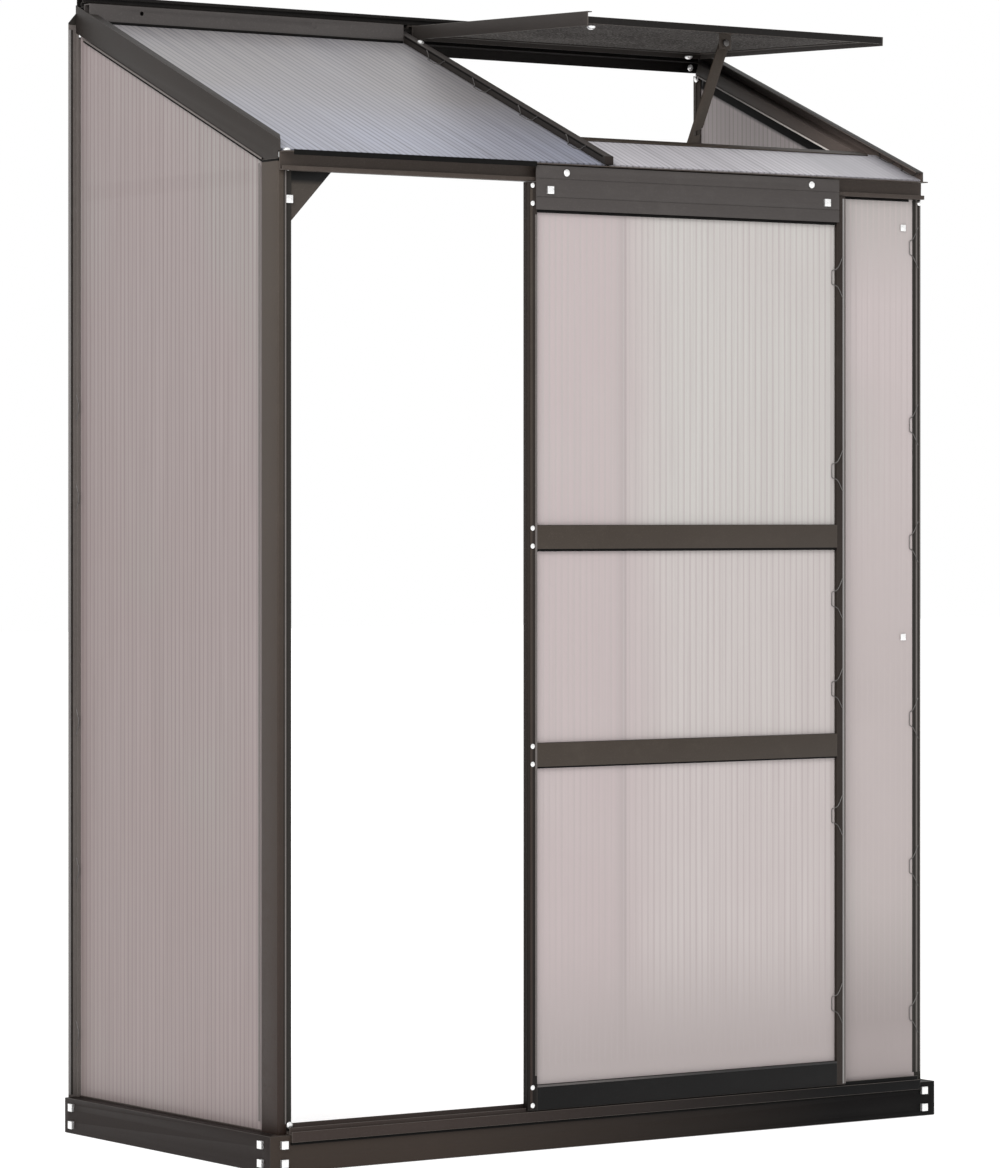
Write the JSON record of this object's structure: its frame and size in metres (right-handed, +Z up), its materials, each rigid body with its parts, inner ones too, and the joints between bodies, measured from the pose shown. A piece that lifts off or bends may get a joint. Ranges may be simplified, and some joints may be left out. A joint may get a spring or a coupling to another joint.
{
  "type": "lean-to greenhouse",
  "caption": "Lean-to greenhouse: a dark metal frame on a base, glazed with ribbed sheet, with a hung sliding door and a roof vent held open by a notched stay.",
  "frame": {"origin": "on the ground, in the middle of the overall box", "axes": "+X along the wall to the right as seen from the front, +Y from the front to the wall, +Z up"},
  "size_m": [1.31, 0.63, 1.8315],
  "materials": {
    "frame_alloy": "powder coated",
    "base_steel": "powder coated",
    "bright_steel": "zinc plated",
    "nylon": "moulded",
    "wall_sheet": "translucent twin-wall sheet",
    "roof_sheet": "translucent twin-wall sheet"
  },
  "bodies": {
    "frame": {"base_front": "base_steel", "base_left": "base_steel", "base_right": "base_steel", "base_angles": "base_steel", "base_bolts": "bright_steel", "front_sill": "frame_alloy", "left_sill": "frame_alloy", "right_sill": "frame_alloy", "front_left_post": "frame_alloy", "front_right_post": "frame_alloy", "rear_left_post": "frame_alloy", "rear_right_post": "frame_alloy", "middle_post": "frame_alloy", "eave_rail": "frame_alloy", "wall_bar": "frame_alloy", "ridge_cover": "frame_alloy", "left_rafter": "frame_alloy", "middle_rafter": "frame_alloy", "right_rafter": "frame_alloy", "left_tie": "frame_alloy", "right_tie": "frame_alloy", "front_brace": "frame_alloy", "left_gusset": "frame_alloy", "right_gusset": "frame_alloy", "frame_bolts": "bright_steel", "vent_crossbar": "frame_alloy", "stay_peg": "bright_steel", "left_wall_pane": "wall_sheet", "right_wall_pane": "wall_sheet", "front_pane": "wall_sheet", "left_roof_pane": "roof_sheet", "lower_roof_pane": "roof_sheet"},
    "door": {"door_left_stile": "frame_alloy", "door_right_stile": "frame_alloy", "door_header": "frame_alloy", "door_upper_rail": "frame_alloy", "door_lower_rail": "frame_alloy", "door_bottom_rail": "frame_alloy", "door_upper_pane": "wall_sheet", "door_middle_pane": "wall_sheet", "door_lower_pane": "wall_sheet", "door_header_cleats": "frame_alloy", "door_header_bolts": "bright_steel", "door_rivets": "bright_steel", "door_glides": "nylon", "roller_axles": "bright_steel"},
    "left_roller": {"left_roller": "nylon"},
    "right_roller": {"right_roller": "nylon"},
    "vent": {"vent_top_rail": "frame_alloy", "vent_left_rail": "frame_alloy", "vent_right_rail": "frame_alloy", "vent_front_rail": "frame_alloy", "vent_pane": "roof_sheet", "stay_bracket": "frame_alloy", "stay_pivot": "bright_steel"},
    "stay": {"vent_stay": "frame_alloy"}
  },
  "joints": [
    {"name": "door_slide", "type": "slide", "parent": "frame", "child": "door", "axis": [1, 0, 0], "range_m": [-0.444, 0.162]},
    {"name": "left_roller_spin", "type": "hinge", "parent": "door", "child": "left_roller", "pos_m": [-0.105, -0.3048, 1.531], "axis": [0, 1, 0], "continuous": true},
    {"name": "right_roller_spin", "type": "hinge", "parent": "door", "child": "right_roller", "pos_m": [0.385, -0.3048, 1.531], "axis": [0, 1, 0], "continuous": true},
    {"name": "vent_hinge", "type": "hinge", "parent": "frame", "child": "vent", "pos_m": [0.304, 0.297, 1.81592], "axis": [-1, 0, 0], "range_deg": [-20.65, 0]},
    {"name": "stay_swing", "type": "hinge", "parent": "vent", "child": "stay", "pos_m": [0.318, -0.16428, 1.769], "axis": [0, 0.9995, 0.0323], "range_deg": [0, 68]}
  ],
  "couplings": [
    {"joint": "left_roller_spin", "follows": "door_slide", "rad_per_m": 125},
    {"joint": "right_roller_spin", "follows": "door_slide", "rad_per_m": 125},
    {"joint": "stay_swing", "follows": "vent_hinge", "ratio": -3.28}
  ]
}
